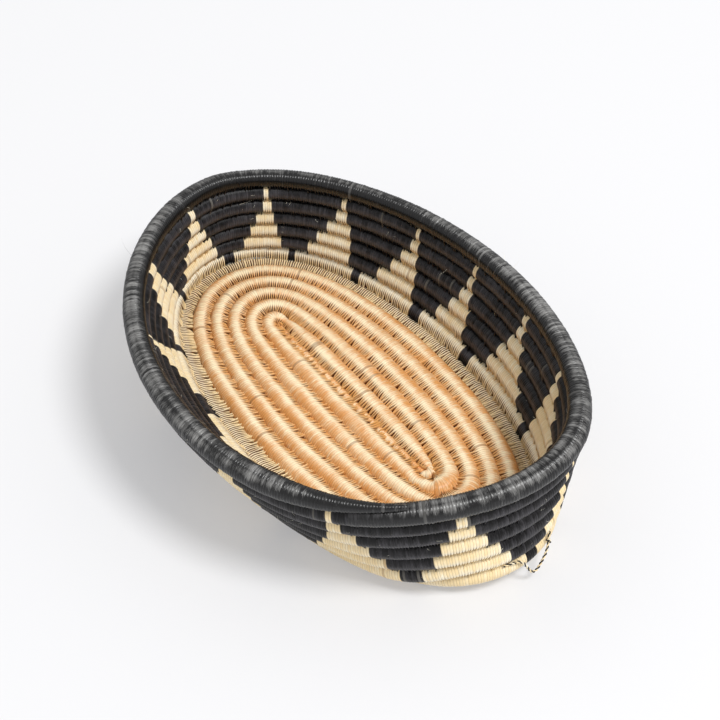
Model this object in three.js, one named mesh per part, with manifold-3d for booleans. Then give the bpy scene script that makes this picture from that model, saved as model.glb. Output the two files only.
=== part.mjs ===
// Oval coiled basket. One coil spirals out from the middle of the floor, turns up into the
// wall and ends as a thicker rim. A small cord loop hangs on the outside near one end.
// Millimetres, +Z up, origin under the middle of the base, +X along the oval.
import * as THREE from 'three';
import { mergeVertices } from 'three/addons/utils/BufferGeometryUtils.js';
import Module from 'manifold-3d';

// Coil
const FLOOR_PITCH = 10.6; // from one round of the floor to the next
const START_PITCH = 7; // the same for the thin first round
const WALL_PITCH = 9.55; // from one round of the wall to the next
const RIM_STEP = 9.9; // from the top round of the wall to the rim
const COIL_RADIUS = 5.3; // fullest radius of the coil where its rounds leave it room
const RIM_RADIUS = 5.6; // the same for the rim
const ROUND_GAP = 0.6; // clearance between neighbouring rounds
const END_GAP = 0.3; // clearance between two lengths of coil that follow each other
const FLOOR_TURNS = 5.375; // turns of the floor, from the middle out
const WALL_TURNS = 6;
const CLIMB = 0.15; // share of a turn in which a round climbs to the next level
const LEVEL_FROM = 0.4; // turns after which the spiral starts to settle into level rounds

// Plan and height of the rounds, measured to the middle of the coil
const FOOT_LENGTH = 238.6;
const FOOT_WIDTH = 118.8;
const FOOT_CUT = 0.5; // depth of the flat worn under the foot round
const FOOT_HEIGHT = (WALL_PITCH - ROUND_GAP) / 2 - FOOT_CUT;
const FLOOR_EDGE_LIFT = 3.1; // the last floor round over the foot round
const FLOOR_DOME = 3.2; // the middle of the floor over its last round

// Waist of a round's plan: near 0 the round has straight sides and half-round ends, near 1 it
// comes close to an ellipse
const START_WAIST = 0.03;
const FOOT_WAIST = 0.34;
const RIM_WAIST = 1.12;

// Lean of the wall in degrees from upright, round by round, the last one to the rim
const END_LEAN = [46, 1.2, 1.5, 1, -1.1, 5.7, 8.6];
const SIDE_LEAN = [51, 28.9, 24.1, 23.1, 21, 16.6, 12.3];

// How far the hand-sewn form has drifted from a true oval
const FOOT_SHIFT_X = -7; // the foot's middle from the rim's
const FOOT_SHIFT_Y = 8.2;
const FLOOR_SHIFT_X = -2.2; // the floor's middle from the foot's
const FLOOR_SHIFT_Y = 0.5;
const EGG = 4.2; // three-sided swelling of the rim's plan
const EGG_TURN = -22.6; // degrees
const TILT = 5; // rise of one end of the rim
const TILT_TURN = 12.6;
const WAVE = 3; // rise of two opposite quarters of the rim
const WAVE_TURN = -6.8;

// Thin ends of the coil
const START_TURN = 0.2;
const START_RADIUS = 1.3;
const START_TAPER = 115; // length over which the first round swells to full size
const BEND_SHARE = 0.9; // most that the radius may be of the bend it follows
const TAIL_RADIUS = 1.1;

// Hanging loop: a cord whose two ends are sewn into a groove of the wall. Its route is chosen by
// hand: the direction on the plan in degrees, the distance out from the middle of the coil and
// the height over the groove.
const CORD_RADIUS = 0.8;
const CORD_STEPS = 18;
const CORD_SIDES = 8;
const LOOP_ROW = 1.5; // the groove between the first and the second round over the foot
const LOOP_ROUTE = [
  [357.4, 4.5, 0],
  [359.4, 4.8, -0.3],
  [361.4, 5.5, -1.6],
  [363.0, 6.4, -3.9],
  [364.2, 7.3, -6.6],
  [365.6, 8.1, -8.6],
  [367.4, 8.6, -9.0],
  [369.3, 8.7, -8.0],
  [372.4, 8.4, -6.0],
  [376.0, 7.8, -4.2],
  [379.6, 6.7, -2.6],
  [382.7, 5.4, -1.1],
  [385.4, 4.4, 0],
];
const LEFT_END_ROUTE = [[351.6, 3.7, 0], [353.4, 3.7, 0], [355.4, 4.0, 0], [357.15, 4.5, 0]];
const RIGHT_END_ROUTE = [[385.65, 4.4, 0], [387.4, 3.9, 0], [389.4, 3.4, 0], [391.2, 3.4, 0]];

// Facets
const SECTION_SIDES = 8;
const STEPS_PER_TURN = 38;
const PROBES_PER_TURN = 720;
const SPACING_ROWS = [-2, 0, 2, 4, 7]; // rows whose shape sets where the rings lie
const LEAST_APART = 0.38; // turns between a ring and the rounds beside it
const MOST_APART = 1.6;

const FLOOR_COLOUR = '#dc9c5e';
const FOOT_COLOUR = '#e3cfa0';
const WALL_COLOUR = '#2c2a2e';
const CORD_COLOUR = '#7d725f';

const radians = THREE.MathUtils.degToRad;
const { clamp, lerp, smoothstep } = THREE.MathUtils;
const wasm = await Module();
wasm.setup();

const RIM_ROW = WALL_TURNS + 1;
const FLOOR_ROWS = Math.ceil(FLOOR_TURNS) + 1;

// Stations of the loft, one a round: half the length, half the width and the height. Row 0 is
// the foot round, the rows below 0 are the floor, and the row after the last one carries the
// coil's tail, which lies over the rim's beginning.
function makeProfile() {
  const halfLength = FOOT_LENGTH / 2;
  const halfWidth = FOOT_WIDTH / 2;
  const stations = [];
  const evenRows = Math.floor(FLOOR_TURNS);
  for (let row = -FLOOR_ROWS; row < 0; row += 1) {
    const startRows = Math.max(0, -row - evenRows);
    const inward = FLOOR_PITCH * (-row - startRows) + START_PITCH * startRows;
    const reach = Math.max(0, halfWidth - inward) / (halfWidth - FLOOR_PITCH);
    const height = FOOT_HEIGHT + FLOOR_EDGE_LIFT + FLOOR_DOME * (1 - reach * reach);
    stations.push(new THREE.Vector3(halfLength - inward, halfWidth - inward, height));
  }
  const station = new THREE.Vector3(halfLength, halfWidth, FOOT_HEIGHT);
  stations.push(station.clone());
  for (let row = 0; row <= RIM_ROW; row += 1) {
    const lean = Math.min(row, RIM_ROW - 1);
    const step = row < WALL_TURNS ? WALL_PITCH : RIM_STEP;
    const rise = step * Math.cos(radians(END_LEAN[lean]));
    const outAtEnd = step * Math.sin(radians(END_LEAN[lean]));
    const outAtSide = rise * Math.tan(radians(SIDE_LEAN[lean]));
    station.add(new THREE.Vector3(outAtEnd, outAtSide, rise));
    stations.push(station.clone());
  }
  return new THREE.CatmullRomCurve3(stations, false, 'catmullrom', 0.5);
}

const profile = makeProfile();
const PROFILE_ROWS = FLOOR_ROWS + RIM_ROW + 1;
const RIM_HEIGHT = profile.getPoint((FLOOR_ROWS + RIM_ROW) / PROFILE_ROWS).z;

// A point of the basket's form: an oval parallel to a slimmer inner oval, for the direction that
// its outward normal has and for a row of the profile.
function formPoint(direction, row) {
  const station = profile.getPoint(clamp((row + FLOOR_ROWS) / PROFILE_ROWS, 0, 1));
  const up = Math.max(0, station.z - FOOT_HEIGHT) / (RIM_HEIGHT - FOOT_HEIGHT);
  const climbed = row > 0 ? up : 0;
  const inward = clamp(-row / FLOOR_TURNS, 0, 1);
  const flatWaist = lerp(FOOT_WAIST, START_WAIST, inward);
  const waist = lerp(flatWaist, RIM_WAIST, climbed);
  const core = (station.x - station.y) / (Math.hypot(1, waist) - waist);
  const offset = station.y - core * waist;
  const cos = Math.cos(direction);
  const sin = Math.sin(direction);
  const spread = Math.hypot(cos, waist);
  const eggAngle = 3 * direction + radians(EGG_TURN);
  const swell = EGG * climbed * Math.sin(eggAngle);
  const swellTurn = 3 * EGG * climbed * Math.cos(eggAngle);
  const tilt = TILT * Math.cos(direction + radians(TILT_TURN));
  const wave = WAVE * Math.sin(2 * direction + radians(WAVE_TURN));
  const shiftX = FOOT_SHIFT_X * (1 - climbed) + FLOOR_SHIFT_X * inward;
  const shiftY = FOOT_SHIFT_Y * (1 - climbed) + FLOOR_SHIFT_Y * inward;
  const x = (offset + swell) * cos - swellTurn * sin + (core * cos * (1 + waist * waist)) / spread;
  const y = (offset + swell) * sin + swellTurn * cos + (core * waist * waist * sin) / spread;
  const z = station.z + climbed * (tilt + wave);
  return new THREE.Vector3(x + shiftX, y + shiftY, z);
}

// The row that the coil has reached after so many turns: a steady spiral in the middle of the
// floor, settling into level rounds that each climb one row within a short stretch.
function rowAt(turn) {
  const laid = turn - FLOOR_TURNS;
  const climb = Math.round(laid);
  const level = climb + smoothstep((laid - climb) / CLIMB, -0.5, 0.5) - 0.5;
  const settled = clamp((turn - LEVEL_FROM) / (FLOOR_TURNS - LEVEL_FROM), 0, 1);
  return laid + settled * (level - laid) - 0.5;
}

const RIM_START = FLOOR_TURNS + 1 + WALL_TURNS + CLIMB / 2;
const TAIL_START = RIM_START + 1 - CLIMB;

// The rim's tail thins out over the stretch where the round beneath it climbs to its level.
function tailRadius(turn) {
  const beneath = rowAt(turn - 1);
  const room = (RIM_ROW - beneath) * RIM_STEP - ROUND_GAP;
  const rimShare = RIM_RADIUS / (RIM_RADIUS + COIL_RADIUS);
  const rimRadius = (RIM_STEP - ROUND_GAP) * rimShare;
  const rising = (beneath - RIM_ROW + 1) * (2 * rimRadius - RIM_STEP + ROUND_GAP);
  const beneathRadius = RIM_STEP - ROUND_GAP - rimRadius + rising;
  return { radius: (room + rimRadius - beneathRadius) / 2, rimRadius };
}

function coilPoint(turn) {
  const direction = 2 * Math.PI * (turn - 0.5);
  if (turn <= TAIL_START) return formPoint(direction, rowAt(turn));
  const { radius, rimRadius } = tailRadius(turn);
  return formPoint(direction, RIM_ROW + (rimRadius - radius) / RIM_STEP);
}

function findTailEnd() {
  let turn = TAIL_START;
  while (tailRadius(turn).radius > TAIL_RADIUS) turn += CLIMB / 500;
  return turn;
}

const TAIL_END = findTailEnd();

// Turn fractions of the rings: closer together where the rounds are straighter, so that every
// chord leaves the curve by about the same amount on the floor and on the wall.
function makeFractions() {
  const weights = [0];
  for (let index = 0; index < PROBES_PER_TURN; index += 1) {
    const chords = SPACING_ROWS.map((row) => {
      const from = formPoint(2 * Math.PI * (index / PROBES_PER_TURN - 0.5), row);
      return from.distanceTo(formPoint(2 * Math.PI * ((index + 1) / PROBES_PER_TURN - 0.5), row));
    });
    weights.push(weights[index] + Math.sqrt(Math.max(...chords)));
  }
  const total = weights[PROBES_PER_TURN];
  const fractions = [];
  for (let step = 0; step < STEPS_PER_TURN; step += 1) {
    const wanted = (total * step) / STEPS_PER_TURN;
    const after = weights.findIndex((weight) => weight > wanted);
    const within = (wanted - weights[after - 1]) / (weights[after] - weights[after - 1]);
    fractions.push((after - 1 + within) / PROBES_PER_TURN);
  }
  return fractions;
}

const fractions = makeFractions();

function ringTurns(from, to) {
  const margin = 0.3 / STEPS_PER_TURN;
  const turns = [from];
  for (let turn = Math.floor(from); turn <= Math.ceil(to); turn += 1) {
    fractions.forEach((fraction) => {
      const at = turn + fraction;
      if (at > from + margin && at < to - margin) turns.push(at);
    });
  }
  turns.push(to);
  return turns;
}

// Half the end gap, as turns of the coil at the place where two lengths meet.
function endMargin(turn) {
  const reach = 0.001;
  const speed = coilPoint(turn + reach).distanceTo(coilPoint(turn - reach)) / (2 * reach);
  return END_GAP / 2 / speed;
}

// The lengths of the coil, each from its first turn to its last.
function makeLengths() {
  const joints = [FLOOR_TURNS, FLOOR_TURNS + 1, RIM_START];
  const starts = [START_TURN, ...joints.map((turn) => turn + endMargin(turn))];
  const ends = [...joints.map((turn) => turn - endMargin(turn)), TAIL_END];
  return starts.map((start, index) => ringTurns(start, ends[index]));
}

const lengths = makeLengths();

// The radius that a ring has with room on every side: small at the coil's thin start and in its
// tail, never more than the tight first bend allows, and larger at the rim.
function fullRadius(turn, laidLength) {
  if (turn > TAIL_START) return tailRadius(turn).radius;
  const start = lerp(START_RADIUS, COIL_RADIUS, clamp(laidLength / START_TAPER, 0, 1));
  const bend = BEND_SHARE * FLOOR_PITCH * turn;
  const toRim = smoothstep(turn, RIM_START - CLIMB, RIM_START);
  return Math.min(start, bend, lerp(COIL_RADIUS, RIM_RADIUS, toRim));
}

// Every ring of the coil, with its middle and its radius. Neighbouring rounds share the room
// between them in proportion to their full radii.
function makeRings() {
  const rings = lengths.flat().map((turn) => ({ turn, centre: coilPoint(turn) }));
  let laidLength = 0;
  rings.forEach((ring, index) => {
    if (index > 0) laidLength += ring.centre.distanceTo(rings[index - 1].centre);
    ring.full = fullRadius(ring.turn, laidLength);
  });
  rings.forEach((ring) => {
    ring.radius = ring.full;
    forNeighbours(rings, ring, (distance, share, before, after) => {
      const beside = lerp(before.full, after.full, share);
      const room = ((distance - ROUND_GAP) * ring.full) / (ring.full + beside);
      ring.radius = Math.min(ring.radius, room);
    });
  });
  return rings;
}

// Calls back with the distance from a ring to each chord of the rounds beside it.
function forNeighbours(rings, ring, callback) {
  const nearest = new THREE.Vector3();
  for (let index = 0; index < rings.length - 1; index += 1) {
    const [before, after] = [rings[index], rings[index + 1]];
    const apart = Math.abs((before.turn + after.turn) / 2 - ring.turn);
    if (apart < LEAST_APART || apart > MOST_APART) continue;
    const chord = new THREE.Line3(before.centre, after.centre);
    const share = chord.closestPointToPointParameter(ring.centre, true);
    callback(chord.at(share, nearest).distanceTo(ring.centre), share, before, after);
  }
}

const allRings = makeRings();

// A closed tube with flat ends. Each ring has its centre, its radius, the direction along the
// tube and a direction that its first point lies in.
function tubeGeometry(rings, sides) {
  const positions = [];
  const indices = [];
  rings.forEach(({ centre, radius, along, towards }) => {
    const outward = towards.clone().addScaledVector(along, -towards.dot(along)).normalize();
    const across = new THREE.Vector3().crossVectors(along, outward);
    for (let side = 0; side < sides; side += 1) {
      const angle = (2 * Math.PI * side) / sides;
      const point = centre.clone()
        .addScaledVector(outward, radius * Math.cos(angle))
        .addScaledVector(across, radius * Math.sin(angle));
      positions.push(point.x, point.y, point.z);
    }
  });
  for (let ring = 0; ring < rings.length - 1; ring += 1) {
    for (let side = 0; side < sides; side += 1) {
      const a = ring * sides + side;
      const b = ring * sides + ((side + 1) % sides);
      indices.push(a, b, a + sides, b, b + sides, a + sides);
    }
  }
  const lastRing = (rings.length - 1) * sides;
  for (let side = 1; side < sides - 1; side += 1) {
    indices.push(0, side + 1, side);
    indices.push(lastRing, lastRing + side, lastRing + side + 1);
  }
  const geometry = new THREE.BufferGeometry();
  geometry.setAttribute('position', new THREE.Float32BufferAttribute(positions, 3));
  geometry.setIndex(indices);
  return geometry;
}

// A length of the coil, with its section turned so that neighbouring rounds meet ridge to ridge.
function coilGeometry(name, turns) {
  const rings = allRings.filter(({ turn }) => turn >= turns[0] && turn <= turns[turns.length - 1]);
  rings.forEach((ring) => {
    const direction = 2 * Math.PI * (ring.turn - 0.5);
    const row = rowAt(Math.min(ring.turn, TAIL_START));
    const reach = 0.0005;
    ring.along = coilPoint(ring.turn + reach).sub(coilPoint(ring.turn - reach)).normalize();
    ring.towards = formPoint(direction, row + 0.25).sub(formPoint(direction, row - 0.25));
  });
  reportGap(name, rings);
  return tubeGeometry(rings, SECTION_SIDES);
}

// Prints the least gap of a length of coil to itself, measured from its rings to its chords.
function reportGap(name, rings) {
  let least = Infinity;
  rings.forEach((ring) => {
    forNeighbours(rings, ring, (distance, share, before, after) => {
      least = Math.min(least, distance - ring.radius - lerp(before.radius, after.radius, share));
    });
  });
  console.log(`${name}: least gap to itself ${least.toFixed(2)} mm`);
}

function toManifold(geometry) {
  const mesh = new wasm.Mesh({
    numProp: 3,
    vertProperties: new Float32Array(geometry.attributes.position.array),
    triVerts: new Uint32Array(geometry.index.array),
  });
  return new wasm.Manifold(mesh);
}

function toGeometry(manifold) {
  const mesh = manifold.getMesh();
  const geometry = new THREE.BufferGeometry();
  geometry.setAttribute('position', new THREE.Float32BufferAttribute(mesh.vertProperties, 3));
  geometry.setIndex(Array.from(mesh.triVerts));
  return geometry;
}

// The foot round is cut flat where the basket stands.
function cutFlat(geometry) {
  const block = new THREE.BoxGeometry(2 * FOOT_LENGTH, 2 * FOOT_LENGTH, 2 * COIL_RADIUS);
  block.translate(0, 0, -COIL_RADIUS);
  block.deleteAttribute('normal');
  block.deleteAttribute('uv');
  return toGeometry(toManifold(geometry).subtract(toManifold(mergeVertices(block))));
}

function straw(colour, roughness) {
  return new THREE.MeshStandardMaterial({ color: colour, roughness, metalness: 0 });
}

function addPiece(group, name, geometry, material) {
  geometry.computeVertexNormals();
  const mesh = new THREE.Mesh(geometry, material);
  mesh.name = name;
  group.add(mesh);
}

// A point beside the groove that the loop is sewn into.
function besideGroove([degrees, out, up]) {
  const direction = radians(degrees);
  const groove = formPoint(direction, LOOP_ROW);
  return groove.add(new THREE.Vector3(out * Math.cos(direction), out * Math.sin(direction), up));
}

// The loop swings about the line through its two ends, so each end of the cord and the face that
// it meets are square to that line.
const loopStart = besideGroove(LOOP_ROUTE[0]);
const loopEnd = besideGroove(LOOP_ROUTE[LOOP_ROUTE.length - 1]);
const swingAxis = loopEnd.clone().sub(loopStart).normalize();

function cordGeometry(points, steps, squareStart, squareEnd) {
  const route = new THREE.CatmullRomCurve3(points.map(besideGroove));
  const frames = route.computeFrenetFrames(steps, false);
  if (squareStart) frames.tangents[0] = swingAxis;
  if (squareEnd) frames.tangents[steps] = swingAxis;
  const rings = frames.tangents.map((along, index) => ({
    centre: route.getPointAt(index / steps),
    radius: CORD_RADIUS,
    along,
    towards: frames.normals[index],
  }));
  console.log(`${route.getLength().toFixed(1)} mm of cord`);
  return tubeGeometry(rings, CORD_SIDES);
}

// The pieces stand in one group, which puts the origin under the middle of the coils.
function buildBasket() {
  const basket = new THREE.Group();
  const [floor, foot, wall, rim] = lengths;
  addPiece(basket, 'floor_coil', coilGeometry('floor_coil', floor), straw(FLOOR_COLOUR, 0.6));
  addPiece(basket, 'foot_coil', cutFlat(coilGeometry('foot_coil', foot)), straw(FOOT_COLOUR, 0.65));
  addPiece(basket, 'wall_coil', coilGeometry('wall_coil', wall), straw(WALL_COLOUR, 0.5));
  addPiece(basket, 'rim_coil', coilGeometry('rim_coil', rim), straw(WALL_COLOUR, 0.4));
  const middle = new THREE.Box3().setFromObject(basket).getCenter(new THREE.Vector3());
  const loop = cordGeometry(LOOP_ROUTE, CORD_STEPS, true, true);
  const leftEnd = cordGeometry(LEFT_END_ROUTE, 3, false, true);
  const rightEnd = cordGeometry(RIGHT_END_ROUTE, 3, true, false);
  addPiece(basket, 'hanging_loop', loop, straw(CORD_COLOUR, 0.7));
  addPiece(basket, 'loop_end_left', leftEnd, straw(CORD_COLOUR, 0.7));
  addPiece(basket, 'loop_end_right', rightEnd, straw(CORD_COLOUR, 0.7));
  basket.position.set(-middle.x, -middle.y, 0);
  console.log('middle of the coils', middle.toArray());
  console.log('swing line from', loopStart.sub(middle).toArray(), 'along', swingAxis.toArray());
  return basket;
}

export default buildBasket();
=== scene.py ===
# %% [markdown]
# # An oval coiled basket
# The real basket is one long bundle of grass that spirals out from the middle of the floor,
# turns up into the wall and ends as a thicker rim. Straw strands are wrapped round the bundle,
# and each wrap is sewn through the round before it. So the whole look comes from two things:
# where the coil runs, and the thousands of small stitches on it. Both are made from numbers
# here, because no modifier lays stitches along a spiral and lets them bite into the round
# before. The basket's numbers are millimetres, and become metres when a mesh is filled.

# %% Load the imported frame
import bpy
import numpy as np
from mathutils import Matrix, Vector


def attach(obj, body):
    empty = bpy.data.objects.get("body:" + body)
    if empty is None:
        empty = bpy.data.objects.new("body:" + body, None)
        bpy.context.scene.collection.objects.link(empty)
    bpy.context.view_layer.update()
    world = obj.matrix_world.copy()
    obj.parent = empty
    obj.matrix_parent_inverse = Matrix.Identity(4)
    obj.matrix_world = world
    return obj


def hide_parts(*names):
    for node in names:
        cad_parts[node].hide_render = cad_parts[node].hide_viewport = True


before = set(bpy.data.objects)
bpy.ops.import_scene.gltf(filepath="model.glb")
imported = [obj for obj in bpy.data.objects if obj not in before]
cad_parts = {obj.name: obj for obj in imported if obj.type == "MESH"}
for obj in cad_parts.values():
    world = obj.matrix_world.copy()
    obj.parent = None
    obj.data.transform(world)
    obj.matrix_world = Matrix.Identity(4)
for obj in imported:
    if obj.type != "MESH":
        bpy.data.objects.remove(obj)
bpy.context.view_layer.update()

# %% [markdown]
# ## Camera
# The camera comes first. It was placed by fitting the rounds of the coil to the picture: it
# looks down at 45 degrees from beyond the near side, with a long lens. A Blender camera looks
# along its own -Z, so its matrix has the right, the up and the backward direction as columns.
# A target and an angle are easier to read than a matrix, and so the matrix is built from them.

# %% Camera
CAMERA_AZIMUTH = 55.10
CAMERA_HEIGHT_ANGLE = 45.174
CAMERA_ROLL = -0.477
CAMERA_DISTANCE = 1.11825
CAMERA_TARGET = Vector((-0.03382, 0.03741, 0.0))
SENSOR = 36.0
FOCAL_PIXELS = 2192.53
PICTURE_PIXELS = 720
FARTHEST_SEEN = 20


def camera_axes():
    """The camera's right, up and backward directions."""
    azimuth, height, roll = np.radians([CAMERA_AZIMUTH, CAMERA_HEIGHT_ANGLE, CAMERA_ROLL])
    flat = np.cos(height)
    back = Vector((np.sin(azimuth) * flat, -np.cos(azimuth) * flat, np.sin(height)))
    level = Vector((0, 0, 1)).cross(back).normalized()
    upright = back.cross(level)
    right = np.cos(roll) * level + np.sin(roll) * upright
    up = np.cos(roll) * upright - np.sin(roll) * level
    return right, up, back


right, up, back = camera_axes()
camera_data = bpy.data.cameras.new("camera")
camera_data.sensor_width = SENSOR
camera_data.lens = SENSOR * FOCAL_PIXELS / PICTURE_PIXELS
camera_data.clip_end = FARTHEST_SEEN
camera = bpy.data.objects.new("camera", camera_data)
turned = Matrix((right, up, back)).transposed().to_4x4()
camera.matrix_world = Matrix.Translation(CAMERA_TARGET + back * CAMERA_DISTANCE) @ turned
bpy.context.scene.collection.objects.link(camera)
bpy.context.scene.camera = camera
bpy.context.scene.view_settings.view_transform = "Standard"
print("lens", round(camera_data.lens, 2), "mm")

# %% [markdown]
# ## The form of the basket
# A row is one round of the coil: row 0 is the foot, the rows below it are the floor, and the
# rows above it are the wall and the rim. For each row a station gives half the length, half
# the width and the height, and a smooth curve runs through the stations. The plan of a row
# isn't an ellipse: near the floor it has straight sides and round ends, because it grows round
# a straight first stretch, and it gets fuller towards the rim. Hand sewing also made it drift:
# the foot isn't quite under the rim, and the rim rises at one end. All of this could be
# sculpted, but as a formula the coil can ask for any point of it.

# %% Stations of the rounds
FLOOR_PITCH = 10.6
START_PITCH = 7
WALL_PITCH = 9.55
RIM_STEP = 9.9
COIL_RADIUS = 5.3
RIM_RADIUS = 5.6
FLOOR_TURNS = 5.375
WALL_TURNS = 6
CLIMB = 0.15
LEVEL_FROM = 0.4
FOOT_LENGTH = 238.6
FOOT_WIDTH = 118.8
FOOT_HEIGHT = 3.975
FLOOR_EDGE_LIFT = 3.1
FLOOR_DOME = 3.2
END_LEAN = [46, 1.2, 1.5, 1, -1.1, 5.7, 8.6]
SIDE_LEAN = [51, 28.9, 24.1, 23.1, 21, 16.6, 12.3]
RIM_ROW = WALL_TURNS + 1
FLOOR_ROWS = int(np.ceil(FLOOR_TURNS)) + 1
LAST_STATION = FLOOR_ROWS + RIM_ROW + 1


def floor_station(row):
    """Half length, half width and height of a row of the floor, which is a low dome."""
    start_rows = max(0, -row - int(FLOOR_TURNS))
    inward = FLOOR_PITCH * (-row - start_rows) + START_PITCH * start_rows
    half_width = FOOT_WIDTH / 2
    reach = max(0, half_width - inward) / (half_width - FLOOR_PITCH)
    height = FOOT_HEIGHT + FLOOR_EDGE_LIFT + FLOOR_DOME * (1 - reach * reach)
    return [FOOT_LENGTH / 2 - inward, half_width - inward, height]


def wall_stations():
    """The foot and the rows above it, each leaning out at its ends and at its sides."""
    station = np.array([FOOT_LENGTH / 2, FOOT_WIDTH / 2, FOOT_HEIGHT])
    stations = [station]
    for row in range(RIM_ROW + 1):
        lean = min(row, RIM_ROW - 1)
        step = WALL_PITCH if row < WALL_TURNS else RIM_STEP
        end_lean, side_lean = np.radians([END_LEAN[lean], SIDE_LEAN[lean]])
        rise = step * np.cos(end_lean)
        station = station + [step * np.sin(end_lean), rise * np.tan(side_lean), rise]
        stations.append(station)
    return stations


stations = np.array([floor_station(row) for row in range(-FLOOR_ROWS, 0)] + wall_stations())
print(len(stations), "stations, from", stations[0].round(1), "to", stations[-1].round(1))

# %% The curve through the stations
padded = np.vstack([2 * stations[0] - stations[1], stations, 2 * stations[-1] - stations[-2]])


def station_at(row):
    """The station of any row, whole or not, on a smooth curve through the given ones."""
    at = np.clip(np.asarray(row, float) + FLOOR_ROWS, 0, LAST_STATION)
    first = np.minimum(at.astype(int), LAST_STATION - 1)
    t = (at - first)[..., None]
    p0, p1, p2, p3 = (padded[first + step] for step in range(4))
    steep = 2 * p0 - 5 * p1 + 4 * p2 - p3
    return 0.5 * (2 * p1 + (p2 - p0) * t + steep * t**2 + (3 * p1 - p0 - 3 * p2 + p3) * t**3)


RIM_HEIGHT = station_at(RIM_ROW)[2]
print("middle of the rim", round(RIM_HEIGHT, 1), "mm up")

# %% A point of the form
START_WAIST, FOOT_WAIST, RIM_WAIST = 0.03, 0.34, 1.12
FOOT_SHIFT = np.array([-7, 8.2])
FLOOR_SHIFT = np.array([-2.2, 0.5])
EGG, EGG_TURN = 4.2, -22.6
TILT, TILT_TURN = 5, 12.6
WAVE, WAVE_TURN = 3, -6.8
MIDDLE = np.array([-2.0935, -4.0024])


def form_point(direction, row):
    """The middle of the coil in a direction and on a row. The waist makes the plan rounder."""
    station = station_at(row)
    half_length, half_width, height = station[..., 0], station[..., 1], station[..., 2]
    climbed = np.clip((height - FOOT_HEIGHT) / (RIM_HEIGHT - FOOT_HEIGHT), 0, None)
    climbed = np.where(row > 0, climbed, 0)
    inward = np.clip(-row / FLOOR_TURNS, 0, 1)
    flat_waist = FOOT_WAIST + (START_WAIST - FOOT_WAIST) * inward
    waist = flat_waist + (RIM_WAIST - flat_waist) * climbed
    core = (half_length - half_width) / (np.hypot(1, waist) - waist)
    offset = half_width - core * waist
    cos, sin = np.cos(direction), np.sin(direction)
    spread = np.hypot(cos, waist)
    egg_angle = 3 * direction + np.radians(EGG_TURN)
    out = offset + EGG * climbed * np.sin(egg_angle)
    along = 3 * EGG * climbed * np.cos(egg_angle)
    x = out * cos - along * sin + core * cos * (1 + waist**2) / spread
    y = out * sin + along * cos + core * waist**2 * sin / spread
    tilt = TILT * np.cos(direction + np.radians(TILT_TURN))
    wave = WAVE * np.sin(2 * direction + np.radians(WAVE_TURN))
    shift = FOOT_SHIFT * (1 - climbed)[..., None] + FLOOR_SHIFT * inward[..., None]
    plan = np.stack([x, y], -1) + shift - MIDDLE
    return np.concatenate([plan, (height + climbed * (tilt + wave))[..., None]], -1)


print("right end of the rim", form_point(np.array(0.0), np.array(7.0)).round(1))

# %% [markdown]
# ## The route of the hanging loop
# A two-coloured twisted cord is sewn into a groove of the wall near one end: both its ends go
# into the basket, and the loop hangs between them with a knot on one side. The route
# could be a Blender curve, but here it follows the groove, which only the form knows. So each
# point is given by its direction, how far it stands out from the groove, and how far it rises.

# %% Route of the loop
CORD_RADIUS = 0.7
LOOP_ROW = 1.5
LOOP_STEPS = 160
END_STEPS = 30
CURVE_STEPS = 40
LOOP_ROUTE = [
    (357.4, 4.5, 0), (359.4, 4.8, -0.3), (361.4, 5.5, -1.6), (363.0, 6.4, -3.9),
    (364.2, 7.3, -6.6), (365.6, 8.1, -8.6), (367.4, 8.6, -9.0), (369.3, 8.7, -8.0),
    (372.4, 8.4, -6.0), (376.0, 7.8, -4.2), (379.6, 6.7, -2.6), (382.7, 5.4, -1.1),
    (385.4, 4.4, 0),
]
LEFT_END_ROUTE = [(351.6, 3.7, 0), (353.4, 3.7, 0), (355.4, 4.0, 0), (357.15, 4.5, 0)]
RIGHT_END_ROUTE = [(385.65, 4.4, 0), (387.4, 3.9, 0), (389.4, 3.4, 0), (391.2, 3.4, 0)]


def beside_groove(route):
    """Points beside the groove, from directions in degrees, distances out and rises."""
    degrees, out, rise = np.array(route, float).T
    direction = np.radians(degrees)
    beside = np.stack([out * np.cos(direction), out * np.sin(direction), rise], -1)
    return form_point(direction, np.full(len(direction), LOOP_ROW)) + beside


def lengths_along(points):
    """How far along a line each of its points lies."""
    return np.concatenate([[0], np.cumsum(np.linalg.norm(np.diff(points, axis=0), axis=1))])


def smooth_route(points, steps):
    """A smooth curve through the points, at even steps of its length, and that length."""
    gaps = np.sqrt(np.linalg.norm(np.diff(points, axis=0), axis=1))
    knots = np.concatenate([[0], np.cumsum(gaps)])
    p = np.vstack([2 * points[0] - points[1], points, 2 * points[-1] - points[-2]])
    k = np.concatenate([[2 * knots[0] - knots[1]], knots, [2 * knots[-1] - knots[-2]]])
    fine = np.linspace(knots[0], knots[-1], CURVE_STEPS * len(points))
    first = np.clip(np.searchsorted(knots, fine, side="right") - 1, 0, len(points) - 2)
    t0, t1, t2, t3 = (k[first + step][:, None] for step in range(4))
    p0, p1, p2, p3 = (p[first + step] for step in range(4))
    t = fine[:, None]
    a1 = ((t1 - t) * p0 + (t - t0) * p1) / (t1 - t0)
    a2 = ((t2 - t) * p1 + (t - t1) * p2) / (t2 - t1)
    a3 = ((t3 - t) * p2 + (t - t2) * p3) / (t3 - t2)
    b1 = ((t2 - t) * a1 + (t - t0) * a2) / (t2 - t0)
    b2 = ((t3 - t) * a2 + (t - t1) * a3) / (t3 - t1)
    curve = ((t2 - t) * b1 + (t - t1) * b2) / (t2 - t1)
    length = lengths_along(curve)
    even = np.linspace(0, length[-1], steps)
    return np.stack([np.interp(even, length, curve[:, axis]) for axis in range(3)], -1), length[-1]


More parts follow.
